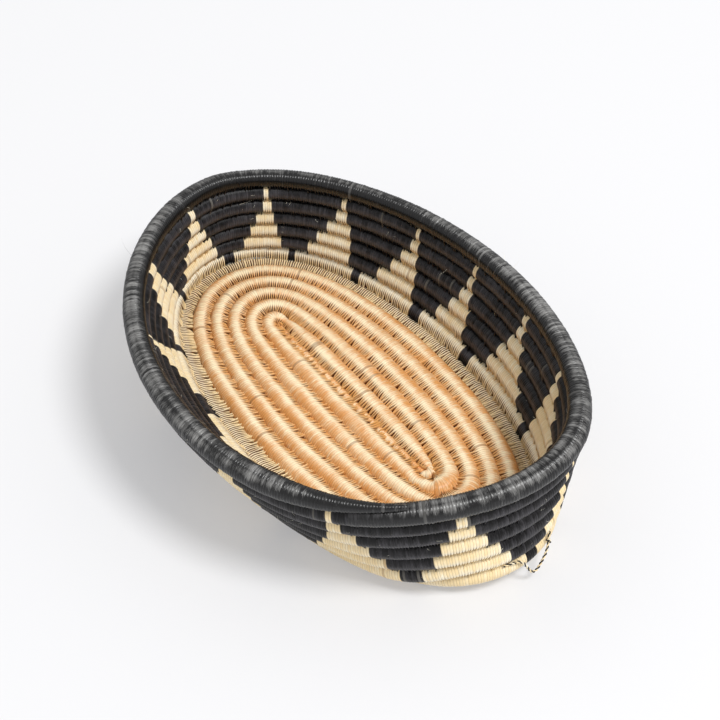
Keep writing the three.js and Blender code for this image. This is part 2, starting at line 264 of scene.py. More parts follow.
loop_path, loop_length = smooth_route(beside_groove(LOOP_ROUTE), LOOP_STEPS)
left_path, left_length = smooth_route(beside_groove(LEFT_END_ROUTE), END_STEPS)
right_path, right_length = smooth_route(beside_groove(RIGHT_END_ROUTE), END_STEPS)
print("loop", round(loop_length, 1), "mm, its ends", round(left_length, 1), round(right_length, 1))

# %% [markdown]
# ## Tubes as meshes
# The cord's strands, the coil and the stray fibres are all tubes. A bevelled curve makes a
# tube too, but it can't carry a stitch, a tone or a dye from point to point. So every tube is
# a mesh of rings here, with its numbers kept as fields on the points. Its map runs along the
# tube in one direction and round it in the other, and a long tube is folded into strips, so
# that a stitch isn't squeezed in the map.

# %% A mesh from points and quads
MILLIMETRE = 0.001
MAP_MARGIN = 0.005
STRIP_MARGIN = 0.02


def fill_mesh(name, points, quads, corner_uv, fields):
    """A smooth mesh from millimetre points. Fields are vectors that the straw finishes read."""
    mesh = bpy.data.meshes.new(name)
    mesh.vertices.add(len(points))
    mesh.vertices.foreach_set("co", (points * MILLIMETRE).astype(np.float32).ravel())
    mesh.loops.add(quads.size)
    mesh.loops.foreach_set("vertex_index", quads.astype(np.int32).ravel())
    mesh.polygons.add(len(quads))
    mesh.polygons.foreach_set("loop_start", np.arange(0, quads.size, 4, dtype=np.int32))
    mesh.update(calc_edges=True)
    mesh.shade_smooth()
    layer = mesh.uv_layers.new(name="OFBake")
    layer.data.foreach_set("uv", corner_uv.astype(np.float32).ravel())
    for field, values in fields.items():
        attribute = mesh.attributes.new(field, "FLOAT_VECTOR", "POINT")
        attribute.data.foreach_set("vector", values.astype(np.float32).ravel())
    piece = bpy.data.objects.new(name, mesh)
    bpy.context.scene.collection.objects.link(piece)
    return piece


def tube_quads(rings, sides, strips=1):
    """The quads of a tube, and their map: the tube cut open and folded into equal strips."""
    ring, side = np.meshgrid(np.arange(rings - 1), np.arange(sides), indexing="ij")
    ring, side = ring.ravel(), side.ravel()
    beyond = (side + 1) % sides
    start, end = ring * sides, (ring + 1) * sides
    quads = np.stack([start + side, start + beyond, end + beyond, end + side], -1)
    per_strip = int(np.ceil((rings - 1) / strips))
    strip = ring // per_strip
    near = (ring - strip * per_strip) / per_strip
    far = near + 1 / per_strip
    used = 1 - 2 * STRIP_MARGIN
    low = (strip + STRIP_MARGIN + used * side / sides) / strips
    high = (strip + STRIP_MARGIN + used * (side + 1) / sides) / strips
    corner_uv = np.stack([near, low, near, high, far, high, far, low], -1).reshape(-1, 2)
    return quads, MAP_MARGIN + (1 - 2 * MAP_MARGIN) * corner_uv


# %% [markdown]
# ## The twisted cord
# The cord is two strands, one black and one cream, which wind round each other. One smooth
# tube with a striped colour would look flat, so each strand is a thin tube of its own that
# winds round the route. The knot is a short stretch of the same cord that goes round the loop
# a turn and a half. It hangs a little low on the loop, which leaves it clear of the wall when
# the loop is turned up.

# %% Two strands that wind round a route
STRAND_RADIUS = 0.37
TWIST_PITCH = 3.4
STRAND_SIDES = 8
CORD_FIELD_SCALE = 0.1
START_SIDE = [0.3, 0.2, 1.0]
SEED = 17
random = np.random.default_rng(SEED)


def route_frame(path):
    """At each point of a route two directions across it, which don't spin."""
    along = np.gradient(path, axis=0)
    along /= np.linalg.norm(along, axis=1)[:, None]
    across = np.zeros_like(path)
    side = np.cross(along[0], START_SIDE)
    for index, direction in enumerate(along):
        side = side - direction * side.dot(direction)
        side /= np.linalg.norm(side)
        across[index] = side
    return across, np.cross(along, across)


def strand_points(path, length, phase):
    """Points of one strand: rings round a centre that winds round the route."""
    across, beyond = route_frame(path)
    turn = 2 * np.pi * np.linspace(0, length, len(path)) / TWIST_PITCH + phase
    cos, sin = np.cos(turn)[:, None], np.sin(turn)[:, None]
    centre = path + (CORD_RADIUS - STRAND_RADIUS) * (across * cos + beyond * sin)
    rings = []
    for side in range(STRAND_SIDES):
        angle = 2 * np.pi * side / STRAND_SIDES
        outward = np.cos(angle) * across + np.sin(angle) * beyond
        rings.append(centre + STRAND_RADIUS * outward)
    return np.stack(rings, 1).reshape(-1, 3)


def make_cord(name, path, length):
    """Both strands of a stretch of cord as one mesh, the first black and the second cream."""
    parts, corners, dyes = [], [], []
    quads, corner_uv = tube_quads(len(path), STRAND_SIDES)
    for strand in range(2):
        parts.append(strand_points(path, length, np.pi * strand))
        corners.append(corner_uv * [1, 0.5] + [0, 0.5 * strand])
        dyes.append(np.full(len(parts[-1]), 1.0 - strand))
    points = np.vstack(parts)
    none = np.zeros(len(points))
    run = np.tile(np.repeat(np.linspace(0, length, len(path)), STRAND_SIDES), 2)
    fields = {
        "strand": np.stack([run * CORD_FIELD_SCALE, run, random.random(len(points))], -1),
        "marks": np.stack([none, np.concatenate(dyes), none], -1),
    }
    both = np.vstack([quads, quads + len(parts[0])])
    return fill_mesh(name, points, both, np.vstack(corners), fields)


# %% The knot and the cord's pieces
KNOT_STEP = -17
KNOT_REACH = 8
KNOT_TURNS = 1.6
KNOT_RADIUS = 0.72
KNOT_PITCH = 0.72
KNOT_DROP = 0.7
KNOT_STEPS = 60
KNOT_TWIST = 9.5


def knot_path():
    """A turn and a half round the loop near its right end, where it is tied off."""
    towards = loop_path[KNOT_STEP + KNOT_REACH] - loop_path[KNOT_STEP - KNOT_REACH]
    towards = towards / np.linalg.norm(towards)
    side = np.cross(towards, [0, 0, 1.0])
    side /= np.linalg.norm(side)
    beyond = np.cross(towards, side)
    wound = np.linspace(0, KNOT_TURNS, KNOT_STEPS)[:, None]
    turn = 2 * np.pi * wound
    wrap = KNOT_RADIUS * (np.cos(turn) * side + np.sin(turn) * beyond)
    middle = loop_path[KNOT_STEP] - [0, 0, KNOT_DROP]
    return middle + wrap + towards * (wound - KNOT_TURNS / 2) * KNOT_PITCH


loop_cord = make_cord("loop_strands", loop_path, loop_length)
loop_knot = make_cord("loop_knot", knot_path(), KNOT_TWIST)
left_cord = make_cord("loop_left_end", left_path, left_length)
right_cord = make_cord("loop_right_end", right_path, right_length)
cord_pieces = (loop_cord, loop_knot, left_cord, right_cord)
print("cord pieces", [piece.name for piece in cord_pieces])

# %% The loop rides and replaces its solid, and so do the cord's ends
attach(loop_cord, "loop")
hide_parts("hanging_loop")
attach(loop_knot, "loop")
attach(left_cord, "basket")
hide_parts("loop_end_left")
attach(right_cord, "basket")
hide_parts("loop_end_right")
print("declared", round(loop_length, 1), "mm of cord")

# %% [markdown]
# ## Where the coil runs
# The coil starts as a thin tip in the floor, spirals out, and then settles into level rounds
# that each climb to the next level within a short stretch, as a sewer does to keep the rim
# flat. At its end it thins out into a tail, which lies over the rim's own beginning. A screw
# modifier could wind a circle, but not one whose rounds change their plan and bite into each
# other. So the centre line is worked out for any number of turns.

# %% Rows and turns
START_TURN = 0.2
START_RADIUS = 1.7
START_TAPER = 70
BEND_SHARE = 0.9
TAIL_RADIUS = 1.1
TAIL_SAMPLES = 2000
RIM_TURNS = 1.04
RIM_START = FLOOR_TURNS + 1 + WALL_TURNS + CLIMB / 2
TAIL_START = RIM_START + 1 - CLIMB
RIM_HALF = RIM_STEP * RIM_RADIUS / (RIM_RADIUS + COIL_RADIUS)


def ease(value, low, high):
    """0 below the low value, 1 above the high one, and a smooth step between them."""
    share = np.clip((value - low) / (high - low), 0, 1)
    return share * share * (3 - 2 * share)


def row_at(turn):
    """The row of a turn: steady in the floor's start, and in levels further out."""
    laid = turn - FLOOR_TURNS
    climb = np.floor(laid + 0.5)
    level = climb + ease((laid - climb) / CLIMB, -0.5, 0.5) - 0.5
    settled = np.clip((turn - LEVEL_FROM) / (FLOOR_TURNS - LEVEL_FROM), 0, 1)
    return laid + settled * (level - laid) - 0.5


def tail_radius(turn):
    """Half the room between the round beneath and the level of the rim's top."""
    beneath = row_at(turn - 1)
    room = (RIM_ROW - beneath) * RIM_STEP
    rising = (beneath - RIM_ROW + 1) * (2 * RIM_HALF - RIM_STEP)
    return (room + RIM_HALF - (RIM_STEP - RIM_HALF + rising)) / 2


def coil_point(turn):
    """The middle of the coil at a turn."""
    row = row_at(np.minimum(turn, TAIL_START))
    thinned = RIM_ROW + (RIM_HALF - tail_radius(turn)) / RIM_STEP
    return form_point(2 * np.pi * (turn - 0.5), np.where(turn > TAIL_START, thinned, row))


tail = np.linspace(TAIL_START, TAIL_START + CLIMB, TAIL_SAMPLES)
TAIL_END = tail[np.argmax(tail_radius(tail) < TAIL_RADIUS)]
RIM_FROM = TAIL_END - RIM_TURNS
print("the rim runs from turn", round(RIM_FROM, 3), "to", round(TAIL_END, 3))

# %% [markdown]
# ## How thick the coil is
# A sewn bundle is soft: where two rounds come close they press each other thinner, and where
# there is room they swell a little. A soft-body simulation could find that, but slowly. Here
# each sample of the centre line looks at the rounds beside it, takes its share of the room,
# and then grows into what is left in a few passes.

# %% Centre line and thickness
SAMPLE = 1 / 260
BESIDE_FROM, BESIDE_TO = 0.38, 1.6
FULLEST = 1.12
SWELL_PASSES = 3
turns = np.arange(START_TURN, TAIL_END + SAMPLE / 2, SAMPLE)
centres = coil_point(turns)
laid = lengths_along(centres)


def full_radius():
    """The bundle's own radius: thin at its start and tail, and thicker in the rim."""
    start = START_RADIUS + (COIL_RADIUS - START_RADIUS) * np.clip(laid / START_TAPER, 0, 1)
    bend = BEND_SHARE * FLOOR_PITCH * turns
    to_rim = ease(turns, RIM_START - CLIMB, RIM_START)
    grown = COIL_RADIUS + (RIM_RADIUS - COIL_RADIUS) * to_rim
    return np.where(turns > TAIL_START, tail_radius(turns), np.minimum(np.minimum(start, bend), grown))


def neighbours(index):
    """Samples of the rounds beside a sample, and how far off they are."""
    apart = np.abs(turns - turns[index])
    beside = np.flatnonzero((apart > BESIDE_FROM) & (apart < BESIDE_TO))
    return beside, np.linalg.norm(centres[beside] - centres[index], axis=1)


def pressed_radius(index):
    """The bundle's own radius, or its share of the room where that is less."""
    beside, distance = around[index]
    share = full[index] / (full[index] + full[beside])
    return min(full[index], np.min(distance * share))


full = full_radius()
around = [neighbours(index) for index in range(len(turns))]
radii = np.array([pressed_radius(index) for index in range(len(turns))])
for swell_pass in range(SWELL_PASSES):
    room = np.array([np.min(distance - radii[beside]) for beside, distance in around])
    radii = (radii + np.clip(room, radii, np.maximum(full * FULLEST, radii))) / 2
print("coil", round(laid[-1] / 1000, 2), "m, radius", radii.min().round(2), "to", radii.max().round(2))

# %% [markdown]
# ## Stitches
# Each stitch is a strand that goes round the bundle and down into the round before it. Round
# the bundle it is a low ridge with a groove on each side. On the side of the earlier round it
# runs out into a pointed tooth, which bridges the notch between the two rounds, and between
# the teeth the notch stays open: that makes the zipper-like seams. A bump texture could fake
# the ridges, but not the open gaps. So the mesh has six rings for each stitch, and a ring is a
# circle with the tooth's two flanks added where the stitch is thickest. The angles of a ring
# are counted from the direction of the round before. The stitches differ a little in width
# and height, and the coil's thickness drifts slowly, each from a fixed seed.

# %% Stitch by stitch
STITCH = 1.25
STITCH_JITTER = 0.16
RING_SHARES = np.array([0, 0.12, 0.32, 0.5, 0.68, 0.88])
RING_CREST = np.array([0, 0.62, 0.94, 1, 0.94, 0.62])
RING_TOOTH = np.array([0, 0.36, 0.86, 1, 0.86, 0.36])
HALF_ANGLES = np.array([12, 22, 29, 37, 46, 56, 67, 80, 98, 118, 138, 159])
WANDER_EVERY = 17.0
WANDER_SHARE = 0.008
WANDER_SEED = 170
ring_angles = np.radians(np.concatenate([[0], HALF_ANGLES, [180], -HALF_ANGLES[::-1]]))


def ring_table(first, last, pitch):
    """For each ring its place along the coil and its stitch, and the number of stitches."""
    count = int(round((last - first) / pitch))
    edges = np.linspace(first, last, count + 1)
    edges[1:-1] += random.uniform(-STITCH_JITTER, STITCH_JITTER, count - 1) * pitch
    lengths = (edges[:-1, None] + np.diff(edges)[:, None] * RING_SHARES).ravel()
    stitches = np.repeat(np.arange(count), len(RING_SHARES))
    return np.append(lengths, last), np.append(stitches, count), count + 1


def each_ring(values, count):
    """The values of one stitch's rings for all the stitches, and 0 for the last ring."""
    return np.append(np.tile(values, count - 1), 0)


def wander(length):
    """A slow random drift of the coil's thickness."""
    knots = np.arange(0, laid[-1] + 2 * WANDER_EVERY, WANDER_EVERY)
    drift = np.random.default_rng(WANDER_SEED).normal(0, WANDER_SHARE, len(knots))
    return np.interp(length, knots, drift)


print(len(RING_SHARES), "rings a stitch,", len(ring_angles), "points a ring")

# %% Directions at a place of the coil
ROW_STEP = 0.25
TURN_STEP = 2e-4
CURL_FROM, CURL_TO = 1.2, 1.5
TINY = 1e-6


def towards_last(turn, point):
    """Direction to the round before, which in the first turns is the middle of the floor."""
    direction = 2 * np.pi * (turn - 0.5)
    row = row_at(np.minimum(turn, TAIL_START))
    inward = form_point(direction, row - ROW_STEP) - form_point(direction, row + ROW_STEP)
    last = coil_point(np.maximum(turn - 1, START_TURN)) - point
    share = ease(turn, CURL_FROM, CURL_TO)[:, None]
    inward /= np.linalg.norm(inward, axis=1)[:, None]
    last /= np.maximum(np.linalg.norm(last, axis=1), TINY)[:, None]
    return inward + share * (last - inward)


def coil_frame(turn):
    """The middle of the coil, and the directions along it, to the round before and across."""
    centre = coil_point(turn)
    along = coil_point(turn + TURN_STEP) - coil_point(turn - TURN_STEP)
    along /= np.linalg.norm(along, axis=1)[:, None]
    inward = towards_last(turn, centre)
    inward -= along * np.sum(inward * along, axis=1)[:, None]
    inward /= np.linalg.norm(inward, axis=1)[:, None]
    return centre, along, inward, np.cross(along, inward)


# %% Ridges and teeth
CREST = 0.12
BODY_INSET = 0.08
TOOTH_TOP = np.radians(68)
TOOTH_SPAN = np.radians(45)
NOTCH_SPAN = np.radians(50)
SLANT_SPAN = np.radians(40)
GAP_DEPTH = 0.7
TOOTH_SLANT = 0.35
TOOTH_POINT = 2.3
FULL_BITE_RADIUS = 4.2
CREST_SPREAD, CREST_LEAST, CREST_MOST = 0.22, 0.4, 1.7
TOOTH_MEAN, TOOTH_SPREAD, TOOTH_LEAST, TOOTH_MOST = 0.95, 0.16, 0.5, 1.2


def stitch_sizes(stitches, count, ridge):
    """Height of the ridge and size of the tooth at each ring, a little different by stitch."""
    height = np.clip(random.normal(1, CREST_SPREAD, count), CREST_LEAST, CREST_MOST)
    crest = ridge * height[stitches] * each_ring(RING_CREST, count) - BODY_INSET
    reach = np.clip(random.normal(TOOTH_MEAN, TOOTH_SPREAD, count), TOOTH_LEAST, TOOTH_MOST)
    return crest, each_ring(RING_TOOTH, count) * reach[stitches]


def ring_offsets(radius, crest, tooth):
    """How far each point of a ring lies from the middle of the coil."""
    bite = np.clip(radius / FULL_BITE_RADIUS, 0, 1) ** 2
    beyond = np.clip(TOOTH_TOP - np.abs(ring_angles), 0, TOOTH_SPAN)
    spread = (radius * bite)[:, None] * (1 / np.cos(beyond) - 1)
    nearness = np.clip(1 - np.abs(ring_angles) / TOOTH_TOP, 0, 1)
    pointed = tooth[:, None] ** (1 + TOOTH_POINT * nearness)
    notch = np.exp(-((ring_angles / NOTCH_SPAN) ** 4))
    sunk = GAP_DEPTH * (1 - pointed) * notch * bite[:, None]
    return radius[:, None] + crest[:, None] + spread * pointed - sunk


def ring_points(turn, radius, crest, tooth):
    """All rings of a stretch. A tooth leans ahead on one side of the seam, back on the other."""
    centre, along, inward, across = coil_frame(turn)
    offsets = ring_offsets(radius, crest, tooth)
    slant = TOOTH_SLANT * np.exp(-((ring_angles / SLANT_SPAN) ** 2)) * np.sign(ring_angles)
    return (
        centre[:, None]
        + inward[:, None] * (offsets * np.cos(ring_angles))[..., None]
        + across[:, None] * (offsets * np.sin(ring_angles))[..., None]
        + along[:, None] * (slant * tooth[:, None])[..., None]
    )


tooth_reach = ring_offsets(np.array([COIL_RADIUS]), np.array([0.0]), np.array([1.0])).max()
print("a tooth reaches", round(tooth_reach, 1), "mm from the middle of the coil")

# %% [markdown]
# ## The stepped triangles
# The wall's six patterned rounds are black with cream triangles that widen from a tip under
# the rim to the whole foot. The sewer changes strands at a whole stitch, so the edges of the
# triangles are steps, one a round. An image texture would blur them, so each stitch gets its
# dye here: the black between two tips narrows from row to row down to a point at the foot.
# Where the sewer's steps were uneven, an exponent bends that flank of the black.

# %% Dye of each stitch
TIP_DIRECTIONS = np.array(
    [24.0, 64.8, 79.5, 92.0, 103.8, 119.0, 143.8, 199.0, 224.8, 246.2, 284.5, 307.2, 337.2]
)
BOTTOM_DIRECTIONS = np.array(
    [10.5, 44.0, 74.0, 88.2, 96.5, 108.0, 129.2, 170.5, 220.5, 249.0, 261.5, 277.0, 308.3]
)
CREAM_SHARES = [1.0, 0.87, 0.58, 0.41, 0.26, 0.13, 0.055, 0.0]
FIRST_FLANK, LAST_FLANK = np.ones(len(TIP_DIRECTIONS)), np.ones(len(TIP_DIRECTIONS))
FIRST_FLANK[[0, 9]] = 1.2, 0.72
LAST_FLANK[[0, 10]] = 1.6, 0.6
STEP_JITTER = 0.1
RIM_CHANGE = 0.06
ODD_SHARE = 0.014


def is_cream(turn):
    """True where a turn of the wall lies in a cream triangle."""
    degrees = np.degrees(2 * np.pi * (turn - 0.5)) % 360
    degrees = degrees + random.normal(0, STEP_JITTER, len(turn))
    share = np.interp(row_at(turn), np.arange(len(CREAM_SHARES)), CREAM_SHARES)[:, None]
    black = np.zeros(len(turn), bool)
    for turned in (-360, 0, 360):
        tips_before = np.concatenate([[TIP_DIRECTIONS[-1] - 360], TIP_DIRECTIONS[:-1]]) + turned
        bottoms = BOTTOM_DIRECTIONS + turned
        tips_after = TIP_DIRECTIONS + turned
        first = tips_before + (bottoms - tips_before) * share**FIRST_FLANK
        last = tips_after - (tips_after - bottoms) * share**LAST_FLANK
        black |= np.any((degrees[:, None] > first) & (degrees[:, None] < last), axis=1)
    return ~black


def stitch_marks(turn, stitches, count):
    """The wall's dye at each ring, 1 for black, and whether its stitch is an odd one out."""
    start = turn[np.searchsorted(stitches, np.arange(count))]
    dyed = np.where(is_cream(start), 0.0, 1.0)
    black = dyed * (1 - ease(start, RIM_FROM, RIM_FROM + RIM_CHANGE))
    odd = np.where(random.random(count) < ODD_SHARE, 1.0, 0.0)
    return black[stitches], odd[stitches]


print(len(TIP_DIRECTIONS), "triangles")

# %% [markdown]
# ## A stretch of the coil as one mesh
# A straw finish has to know where it is on a strand, and a picture map can't tell it. So every
# point carries six numbers in two fields: how many stitches the stretch has run, how far round
# the bundle the point lies, the tone of its stitch, how near the seam it is, its dye, and
# whether it is one of the few odd strands. A stretch puts rings, fields and map together.

# %% Fields and a whole stretch
END_SHRINK = 0.002
MAP_STRIPS = 5


def ring_fields(radius, run, tone, marks, seam_span):
    """Fields for the straw finishes, with the two closing rings added."""
    black, odd = marks
    shape = (len(radius), len(ring_angles))
    # The seam mask says where the finishes paint shade, with some dirt.
    seam = np.exp(-((ring_angles / np.radians(seam_span)) ** 4))
    # The arc round the bundle also places the painted highlight.
    arc = radius[:, None] * np.abs(ring_angles)
    ends = [0, *range(shape[0]), shape[0] - 1]

    def field(*columns):
        spread = [np.broadcast_to(column, shape) for column in columns]
        return np.stack(spread, -1)[ends].reshape(-1, 3)

    return {
        "strand": field(run[:, None], arc, tone[:, None]),
        "marks": field(seam, black[:, None], odd[:, None]),
    }


def shrunk(ring):
    """A ring drawn in to its middle, which closes the end of a stretch."""
    middle = ring.mean(axis=1, keepdims=True)
    return middle + (ring - middle) * END_SHRINK


def stretch_points(first, last, pitch, ridge, seam_span):
    """A stitched stretch of the coil as points, quads, map and fields."""
    lengths, stitches, count = ring_table(first, last, pitch)
    crest, tooth = stitch_sizes(stitches, count, ridge)
    turn = np.interp(lengths, laid, turns)
    radius = np.interp(lengths, laid, radii) * (1 + wander(lengths))
    points = ring_points(turn, radius, crest, tooth)
    points = np.concatenate([shrunk(points[:1]), points, shrunk(points[-1:])])
    quads, corner_uv = tube_quads(len(points), len(ring_angles), MAP_STRIPS)
    run = stitches + each_ring(RING_SHARES, count)
    tone = random.random(count)[stitches]
    marks = stitch_marks(turn, stitches, count)
    fields = ring_fields(radius, run, tone, marks, seam_span)
    return points.reshape(-1, 3), quads, corner_uv, fields


# %% [markdown]
# ## Straw
# Flat straw strands are satin: fine fibres run along each strand, so light catches them in
# short streaks, and every strand has its own tone. The fibres are a noise that is stretched
# along the strand, in the coordinates that the mesh carries. The grooves between the stitches
# and the gaps between the teeth are painted darker and browner, partly as dirt and partly as
# painted shade. Along the crown of the coil a painted highlight makes the strands paler. One
# function makes every straw finish, because they differ only in their dyes, their gloss and
# how much their tones differ.

# %% Node helpers
def srgb(red, green, blue):
    """A colour as it is seen, 0 to 255, as the linear colour that nodes take."""
    seen = np.array([red, green, blue]) / 255
    linear = np.where(seen <= 0.04045, seen / 12.92, ((seen + 0.055) / 1.055) ** 2.4)
    return (*linear, 1.0)


def add_node(tree, kind, **settings):
    """A node with its settings."""
    node = tree.nodes.new(kind)
    for key, value in settings.items():
        setattr(node, key, value)
    return node


def connect(tree, sockets, values):
    """Values into sockets: a number or a colour is set, an output is linked."""
    for socket, value in zip(sockets, values):
        if isinstance(value, (int, float, tuple)):
            socket.default_value = value
        else:
            tree.links.new(value, socket)


def calc(tree, operation, first, second=0.0, clamp=False):
    """One step of arithmetic."""
    node = add_node(tree, "ShaderNodeMath", operation=operation, use_clamp=clamp)
    connect(tree, node.inputs, (first, second))
    return node.outputs[0]


def mix_colour(tree, share, first, second):
    """A mix of two colours, with the share of the second."""
    node = add_node(tree, "ShaderNodeMix", data_type="RGBA")
    connect(tree, (node.inputs[0], node.inputs[6], node.inputs[7]), (share, first, second))
    return node.outputs[2]


def read_field(tree, name):
    """The three values of a field of the mesh."""
    node = add_node(tree, "ShaderNodeAttribute", attribute_name=name)
    split = add_node(tree, "ShaderNodeSeparateXYZ")
    tree.links.new(node.outputs["Vector"], split.inputs[0])
    return split.outputs[0], split.outputs[1], split.outputs[2]


def noise(tree, coordinates, scales, detail, roughness=0.5):
    """Noise at a point given by three values, each with its own scale."""
    joined = add_node(tree, "ShaderNodeCombineXYZ")
    for socket, value, scale in zip(joined.inputs, coordinates, scales):
        tree.links.new(calc(tree, "MULTIPLY", value, scale), socket)
    node = add_node(tree, "ShaderNodeTexNoise")
    node.inputs["Scale"].default_value = 1.0
    node.inputs["Detail"].default_value = detail
    node.inputs["Roughness"].default_value = roughness
    tree.links.new(joined.outputs[0], node.inputs["Vector"])
    return node.outputs[0]


# %% Paleness and grooves of a strand
GRAIN_SCALES, GRAIN_DETAIL, GRAIN_ROUGHNESS = (7.0, 0.35, 60.0), 3.0, 0.6
PATCH_SCALES, PATCH_DETAIL = (0.07, 0.12, 0.15), 2.0
# A band this far round the bundle from the seam is painted paler: a painted highlight.
HIGHLIGHT_ARC = 6.3
HIGHLIGHT_WIDTH = 2.8
GRAIN_WEIGHT, PATCH_WEIGHT, HIGHLIGHT_WEIGHT = 2.2, 1.2, 0.75
GROOVE_POWER, GROOVE_WEIGHT = 6.0, 0.42
GAP_POWER, GAP_NARROWEST, GAP_VARIATION = 2.0, 1.4, 2.2


def paleness(tree, strand, grain, highlight_arc, tone_weight, depth):
    """From 0, the deep colour, to 1, the pale one: by grain, tone, patches and a painted highlight."""
    run, arc, tone = strand
    patches = noise(tree, strand, PATCH_SCALES, PATCH_DETAIL)
    # The painted highlight: paler colour in a band along the crown of the coil.
    from_highlight = calc(tree, "MULTIPLY", calc(tree, "SUBTRACT", arc, highlight_arc), 1 / HIGHLIGHT_WIDTH)
    squared = calc(tree, "MULTIPLY", from_highlight, from_highlight)
    painted_highlight = calc(tree, "EXPONENT", calc(tree, "MULTIPLY", squared, -1.0))
    pale = calc(tree, "MULTIPLY", grain, GRAIN_WEIGHT)
    pale = calc(tree, "ADD", pale, calc(tree, "MULTIPLY", tone, tone_weight))
    pale = calc(tree, "ADD", pale, calc(tree, "MULTIPLY", patches, PATCH_WEIGHT))
    pale = calc(tree, "ADD", pale, calc(tree, "MULTIPLY", painted_highlight, HIGHLIGHT_WEIGHT))
    return calc(tree, "SUBTRACT", pale, depth + tone_weight / 2, clamp=True)


def groove_share(tree, run, tone, seam):
    """1 in the grooves between strands, which widen into gaps at the seam: painted shade, with some
    dirt.
    """
    within = calc(tree, "FRACT", run)
    from_middle = calc(tree, "ABSOLUTE", calc(tree, "SUBTRACT", within, 0.5))
    to_groove = calc(tree, "MULTIPLY", from_middle, 2.0)
    groove = calc(tree, "MULTIPLY", calc(tree, "POWER", to_groove, GROOVE_POWER), GROOVE_WEIGHT)
    width = calc(tree, "ADD", calc(tree, "MULTIPLY", tone, GAP_VARIATION), GAP_NARROWEST)
    at_seam = calc(tree, "MULTIPLY", seam, width)
    gap = calc(tree, "MULTIPLY", calc(tree, "POWER", to_groove, GAP_POWER), at_seam)
    return calc(tree, "MAXIMUM", groove, calc(tree, "MINIMUM", gap, 1.0))


# %% One function for the straw finishes
ROOT_SHARE, ODD_TINT = 0.6, 0.5
GLOSS_VARIATION = 0.2
STREAK = 0.8
GRAIN_BUMP, GRAIN_HEIGHT = 0.35, 0.0002


def straw_finish(
    name, colours, roughness, dyed=None, highlight_arc=HIGHLIGHT_ARC, tone_weight=0.45, shine=0.5, depth=1.62
):
    """A straw material. The colours are pale, deep, gap, root and odd, and dyed has the same
    five for the strands that are marked black. A greater depth shows more of the deep one."""
    material = bpy.data.materials.new(name)
    material.use_nodes = True
    tree = material.node_tree
    shader = tree.nodes["Principled BSDF"]
    run, arc, tone = read_field(tree, "strand")
    seam, black, stray = read_field(tree, "marks")
    grain = noise(tree, (run, arc, tone), GRAIN_SCALES, GRAIN_DETAIL, GRAIN_ROUGHNESS)
    lean = paleness(tree, (run, arc, tone), grain, highlight_arc, tone_weight, depth)
    in_groove = groove_share(tree, run, tone, seam)

    def coloured(five):
        pale, deep, gap, root, odd = five
        body = mix_colour(tree, lean, deep, pale)
        # Towards the seam the root colour is mixed in: painted shade, with some dirt.
        body = mix_colour(tree, calc(tree, "MULTIPLY", seam, ROOT_SHARE), body, root)
        body = mix_colour(tree, calc(tree, "MULTIPLY", stray, ODD_TINT), body, odd)
        # The gap colour darkens the grooves and the gaps at the seam: painted shade, with some dirt.
        return mix_colour(tree, in_groove, body, gap)

    colour = coloured(colours)
    if dyed is not None:
        colour = mix_colour(tree, black, colour, coloured(dyed))
    tree.links.new(colour, shader.inputs["Base Color"])
    varied = calc(tree, "MULTIPLY", grain, GLOSS_VARIATION)
    rough = calc(tree, "ADD", varied, roughness - GLOSS_VARIATION / 2)
    tree.links.new(rough, shader.inputs["Roughness"])
    shader.inputs["Specular IOR Level"].default_value = shine
    shader.inputs["Anisotropic"].default_value = STREAK
    tangent = add_node(tree, "ShaderNodeTangent", direction_type="UV_MAP", uv_map="OFBake")
    tree.links.new(tangent.outputs[0], shader.inputs["Tangent"])
    bump = add_node(tree, "ShaderNodeBump")
    bump.inputs["Strength"].default_value = GRAIN_BUMP
    bump.inputs["Distance"].default_value = GRAIN_HEIGHT
    tree.links.new(grain, bump.inputs["Height"])
    tree.links.new(bump.outputs[0], shader.inputs["Normal"])
    return material


# %% The finishes
def five_colours(pale, deep, gap, root, odd):
    """A finish's five colours, as nodes take them."""
    return [srgb(*colour) for colour in (pale, deep, gap, root, odd)]


# In each finish the gap and root colours are painted shade, with some dirt.
TAN = five_colours((255, 238, 200), (226, 158, 90), (84, 38, 12), (240, 186, 112), (132, 84, 46))
CREAM = five_colours(
    (255, 250, 230), (240, 216, 168), (92, 52, 20), (248, 218, 160), (170, 132, 84)
)
BLACK = five_colours((74, 72, 76), (6, 5, 6), (3, 3, 3), (26, 24, 26), (120, 116, 108))
# The rim's black is the wall's black with a paler pale colour: a painted highlight along the rim.
RIM_BLACK_WITH_HIGHLIGHT = five_colours((150, 149, 147), (10, 9, 10), (4, 4, 4), (26, 25, 26), (96, 95, 93))
# On the rim the painted highlight lies further round, on the top of the bundle.
RIM_HIGHLIGHT_ARC = 15.0

tan_straw = straw_finish("tan_straw", TAN, roughness=0.42, tone_weight=0.3)
cream_straw = straw_finish("cream_straw", CREAM, roughness=0.45)
patterned_straw = straw_finish("patterned_straw", CREAM, roughness=0.45, dyed=BLACK, shine=0.3)
black_straw = straw_finish(
    "black_straw",
    RIM_BLACK_WITH_HIGHLIGHT,
    roughness=0.3,
    dyed=BLACK,
    highlight_arc=RIM_HIGHLIGHT_ARC,
    tone_weight=0.6,
    depth=2.12,
)
twisted_cord = straw_finish("twisted_cord", CREAM, roughness=0.6, dyed=BLACK)
for piece in cord_pieces:
    piece.data.materials.append(twisted_cord)
finishes = (tan_straw, cream_straw, patterned_straw, black_straw, twisted_cord)
print("finishes", [finish.name for finish in finishes])

# %% [markdown]
# ## The coil's pieces
# The coil is one length of thousands of stitches. It is cut where the strands change: tan
# floor, cream foot, patterned wall and black rim. The wall is one piece for each round, and
# the floor is three, which keeps every mesh to a size that is easy to handle. One mesh for all
# would look the same, but these follow the solids that they replace. The pieces end at the
# edge of a stitch, where the next piece begins, so no joint shows.

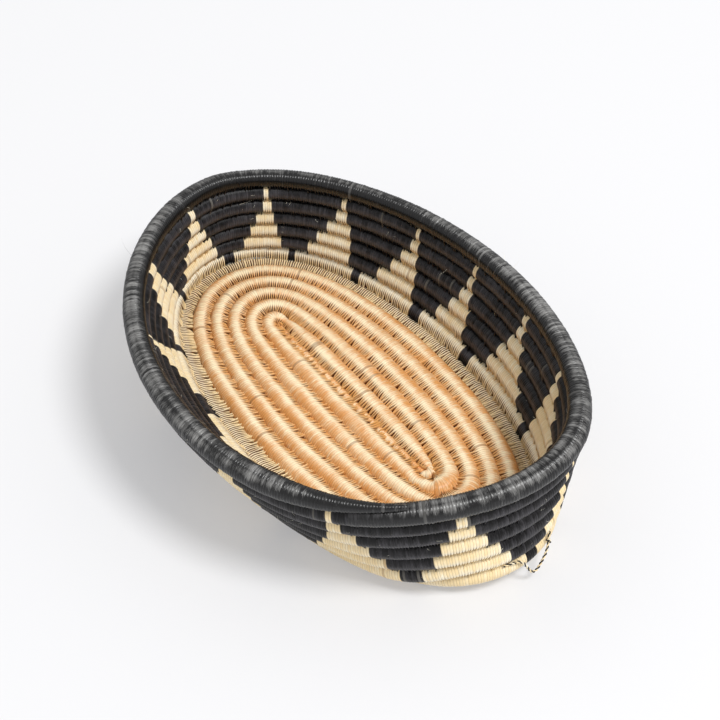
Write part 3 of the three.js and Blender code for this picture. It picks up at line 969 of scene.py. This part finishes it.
# %% Make the coil
# The spans set how far round the bundle the painted shade of the seam reaches.
SEAM_SPAN, FOOT_SEAM_SPAN, WALL_SEAM_SPAN = 52, 112, 74
WALL_CREST = 0.17
RIM_STITCH, RIM_CREST = 1.4, 0.26
FLOOR_CUTS = [START_TURN, 2.6, 4.1, FLOOR_TURNS]
WALL_CUTS = [FLOOR_TURNS + 1 + row for row in range(WALL_TURNS)] + [RIM_FROM]


def length_at(turn):
    """How much of the coil is laid at a turn."""
    return float(np.interp(turn, turns, laid))


def coil_piece(name, span, finish, pitch=STITCH, ridge=CREST, seam_span=SEAM_SPAN):
    """A stretch of the coil between two turns, on the basket. The ground wears it flat."""
    first, last = length_at(span[0]), length_at(span[1])
    points, quads, corner_uv, fields = stretch_points(first, last, pitch, ridge, seam_span)
    points[:, 2] = np.maximum(points[:, 2], 0)
    piece = fill_mesh(name, points, quads, corner_uv, fields)
    piece.data.materials.append(finish)
    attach(piece, "basket")
    print(name, round(last - first), "mm long,", len(quads), "faces")
    return piece


for number, span in enumerate(zip(FLOOR_CUTS[:-1], FLOOR_CUTS[1:]), start=1):
    stretch = coil_piece(f"floor_stretch_{number}", span, tan_straw)
    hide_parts("floor_coil")
foot_span = (FLOOR_TURNS, FLOOR_TURNS + 1)
foot_round = coil_piece(
    "foot_round", foot_span, cream_straw, seam_span=FOOT_SEAM_SPAN
)
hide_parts("foot_coil")

# %% Make the wall and the rim
for number, span in enumerate(zip(WALL_CUTS[:-1], WALL_CUTS[1:]), start=1):
    wall_round = coil_piece(
        f"wall_round_{number}",
        span,
        patterned_straw,
        ridge=WALL_CREST,
        seam_span=WALL_SEAM_SPAN,
    )
    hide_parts("wall_coil")
rim_span = (RIM_FROM, TAIL_END)
rim_round = coil_piece(
    "rim_round", rim_span, black_straw, pitch=RIM_STITCH, ridge=RIM_CREST
)
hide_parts("rim_coil")

# %% [markdown]
# ## Stray fibres
# Straw frays. Short ends stand up from the stitches all over, and a few long fibres have come
# loose at the rim and on the wall. A hair system would do for fur, but so few fibres are
# simpler as thin tapering tubes, each from a point of the surface, with a bend of its own.

# %% A fibre
FIBRE_RADIUS = 0.055
FIBRE_STEPS = 7
FIBRE_SIDES = 4
FIBRE_START = 4.8
FIBRE_TAPER = 1.05
FIBRE_LEAN, FIBRE_RISE, FIBRE_FALL, FIBRE_CURL = 0.8, 0.75, 0.35, 0.5
FIBRE_LOWEST = 0.3
SLOPE_STEP = 0.05


def surface_point(direction, row, side):
    """A point of the coil's surface on the outside, side 1, or the inside, side -1."""
    direction, row = np.array(direction, float), np.array(row, float)
    upward = form_point(direction, row + SLOPE_STEP) - form_point(direction, row - SLOPE_STEP)
    out = np.array([np.cos(direction), np.sin(direction), 0.0])
    rise, reach = upward[2], upward.dot(out)
    normal = side * (rise * out - reach * np.array([0, 0, 1.0])) / np.hypot(rise, reach)
    return form_point(direction, row) + FIBRE_START * normal, normal


def fibre_points(start, normal, length):
    """A bent, tapering tube that leaves the surface at a low angle."""
    sideways = np.cross(normal, random.normal(size=3))
    sideways /= np.linalg.norm(sideways)
    curl = random.uniform(-FIBRE_CURL, FIBRE_CURL)
    t = np.linspace(0, 1, FIBRE_STEPS)[:, None]
    rise = normal * (t * FIBRE_RISE - FIBRE_FALL * t * t)
    bend = curl * t * t * np.cross(normal, sideways)
    line = start + length * (t * sideways * FIBRE_LEAN + rise + bend)
    line[:, 2] = np.maximum(line[:, 2], FIBRE_LOWEST)
    across, beyond = route_frame(line)
    radius = FIBRE_RADIUS * (FIBRE_TAPER - t)
    corners = [across, beyond, -across, -beyond]
    return np.stack([line + radius * corner for corner in corners], 1).reshape(-1, 3)


# %% Fibres on the surface
LONG_FIBRES = [
    (199, 6.4, -1, 8), (166, 5.6, -1, 9), (108, 5.2, -1, 6), (97, 5.0, -1, 6),
    (86, 4.6, -1, 7), (225, 7.2, 1, 12), (228, 7.0, 1, 9), (244, 6.8, 1, 8),
    (90, 7.3, 1, 11), (88, 7.2, 1, 7), (285, 5.8, 1, 8), (288, 4.0, 1, 7),
    (312, 0.6, 1, 5), (322, 2.2, 1, 6), (330, 5.0, 1, 4), (258, 7.1, -1, 6),
]
SHORT_FIBRES = 260
SHORT_LENGTHS = (1.2, 3.4)
FIBRE_ROWS = (0.3, 7.3)
DARK_SHARE = 0.3


def make_fibres():
    """The long fibres, by direction, row, side and length, and then the short ones."""
    parts = []
    for degrees, row, side, length in LONG_FIBRES:
        parts.append(fibre_points(*surface_point(np.radians(degrees), row, side), length))
    for number in range(SHORT_FIBRES):
        direction, row = random.uniform(0, 2 * np.pi), random.uniform(*FIBRE_ROWS)
        place = surface_point(direction, row, random.choice([-1, 1]))
        parts.append(fibre_points(*place, random.uniform(*SHORT_LENGTHS)))
    points = np.vstack(parts)
    each = FIBRE_STEPS * FIBRE_SIDES
    quads, corner_uv = tube_quads(FIBRE_STEPS, FIBRE_SIDES)
    all_quads = np.vstack([quads + index * each for index in range(len(parts))])
    dark = np.repeat(random.random(len(parts)) < DARK_SHARE, each).astype(float)
    none, half = np.zeros(len(points)), np.full(len(points), 0.5)
    fields = {
        # Every fibre sits at the arc of the painted highlight, so it is painted paler.
        "strand": np.stack([half, np.full(len(points), HIGHLIGHT_ARC), np.ones(len(points))], -1),
        "marks": np.stack([none, dark, none], -1),
    }
    corner_uv = np.tile(corner_uv, (len(parts), 1))
    return fill_mesh("stray_fibres", points, all_quads, corner_uv, fields)


stray_fibres = make_fibres()
stray_fibres.data.materials.append(patterned_straw)
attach(stray_fibres, "basket")
print("stray fibres", len(LONG_FIBRES) + SHORT_FIBRES)

# %% [markdown]
# ## Ground
# The basket stands on plain white ground, one sheet so big that its edge never shows. More
# light would make it white too, but it would also bleach the straw. So part of its whiteness
# is shown only to the camera and in reflections, and the rest of it takes the soft shadow.

# %% White ground
GROUND_REACH = 6.0
GROUND_COLOUR = (0.755, 0.755, 0.765, 1)
GROUND_ROUGHNESS = 0.9
SHOWN_COLOUR = (0.96, 0.962, 0.985, 1)
SHOWN_SHARE = 0.3


def ground_finish():
    """A matt white, mixed with a plain glow that no diffuse light comes from."""
    material = bpy.data.materials.new("white_ground")
    material.use_nodes = True
    tree = material.node_tree
    shader = tree.nodes["Principled BSDF"]
    shader.inputs["Base Color"].default_value = GROUND_COLOUR
    shader.inputs["Roughness"].default_value = GROUND_ROUGHNESS
    shader.inputs["Specular IOR Level"].default_value = 0.0
    glow = add_node(tree, "ShaderNodeEmission")
    glow.inputs["Color"].default_value = SHOWN_COLOUR
    seen = add_node(tree, "ShaderNodeLightPath").outputs
    shown = calc(tree, "ADD", seen["Is Camera Ray"], seen["Is Glossy Ray"])
    shown = calc(tree, "ADD", shown, seen["Is Transmission Ray"], clamp=True)
    both = add_node(tree, "ShaderNodeMixShader")
    share = calc(tree, "MULTIPLY", shown, SHOWN_SHARE)
    connect(tree, both.inputs, (share, shader.outputs[0], glow.outputs[0]))
    tree.links.new(both.outputs[0], tree.nodes["Material Output"].inputs["Surface"])
    return material


def make_ground():
    """A square sheet at the basket's foot."""
    mesh = bpy.data.meshes.new("ground")
    corners = [(-1, -1), (1, -1), (1, 1), (-1, 1)]
    points = [(x * GROUND_REACH, y * GROUND_REACH, 0) for x, y in corners]
    mesh.from_pydata(points, [], [(0, 1, 2, 3)])
    mesh.materials.append(ground_finish())
    ground = bpy.data.objects.new("ground", mesh)
    bpy.context.scene.collection.objects.link(ground)
    return ground


ground = make_ground()
print("ground", 2 * GROUND_REACH, "m wide")

# %% [markdown]
# ## Light
# The light is soft and comes from high up, from the picture's right and a little from the
# camera's side, so the shadow falls to the left and behind. A sun lamp would give a sharp
# shadow. One large round lamp gives the soft one, and the pale world fills the shade.

# %% Lamp and world
KEY_DIRECTION = Vector((0.478, 0.146, 0.866)).normalized()
KEY_DISTANCE = 4.0
KEY_SIZE = 1.2
KEY_POWER = 116
WORLD_STRENGTH = 0.7

key_data = bpy.data.lights.new("key_lamp", "AREA")
key_data.shape = "DISK"
key_data.size = KEY_SIZE
key_data.energy = KEY_POWER
key_lamp = bpy.data.objects.new("key_lamp", key_data)
key_lamp.location = KEY_DIRECTION * KEY_DISTANCE
key_lamp.rotation_euler = KEY_DIRECTION.to_track_quat("Z", "Y").to_euler()
bpy.context.scene.collection.objects.link(key_lamp)
world = bpy.data.worlds.new("studio")
world.use_nodes = True
background = world.node_tree.nodes["Background"].inputs
background["Color"].default_value = (1, 1, 1, 1)
background["Strength"].default_value = WORLD_STRENGTH
bpy.context.scene.world = world
print("key lamp", KEY_POWER, "W, world", WORLD_STRENGTH)
